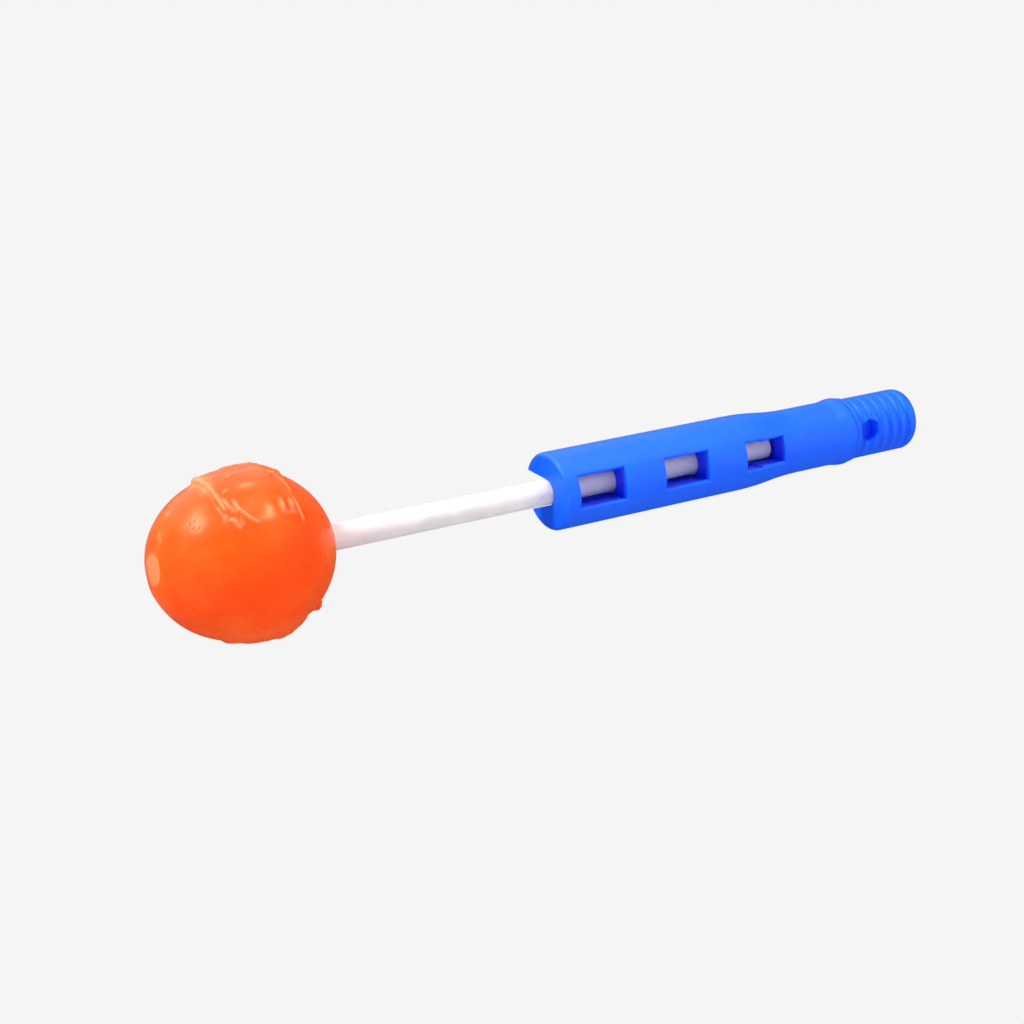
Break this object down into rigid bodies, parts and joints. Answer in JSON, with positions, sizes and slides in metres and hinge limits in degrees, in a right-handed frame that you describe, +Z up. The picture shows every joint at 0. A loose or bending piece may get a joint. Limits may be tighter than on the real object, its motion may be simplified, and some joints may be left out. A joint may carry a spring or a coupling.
{
  "type": "lollipop with holder tip",
  "caption": "Ball lollipop whose paper stick slides into a windowed moulded holder tip with a ribbed plug that pushes into a handle.",
  "frame": {"origin": "on the axis of the stick, at the shoulder where the holder's plug begins", "axes": "+X along the axis from the candy to the plug, -Y out of the holder's windows, +Z up"},
  "size_m": [0.1144, 0.0228, 0.0228],
  "materials": {
    "holder_plastic": "opaque blue moulded plastic, satin",
    "paper_stick": null,
    "hard_candy": null
  },
  "bodies": {
    "holder": {"holder": "holder_plastic"},
    "lollipop": {"stick": "paper_stick", "candy": "hard_candy"}
  },
  "joints": [
    {"name": "lollipop_pull", "type": "slide", "parent": "holder", "child": "lollipop", "axis": [-1, 0, 0], "range_m": [0, 0.042]}
  ]
}
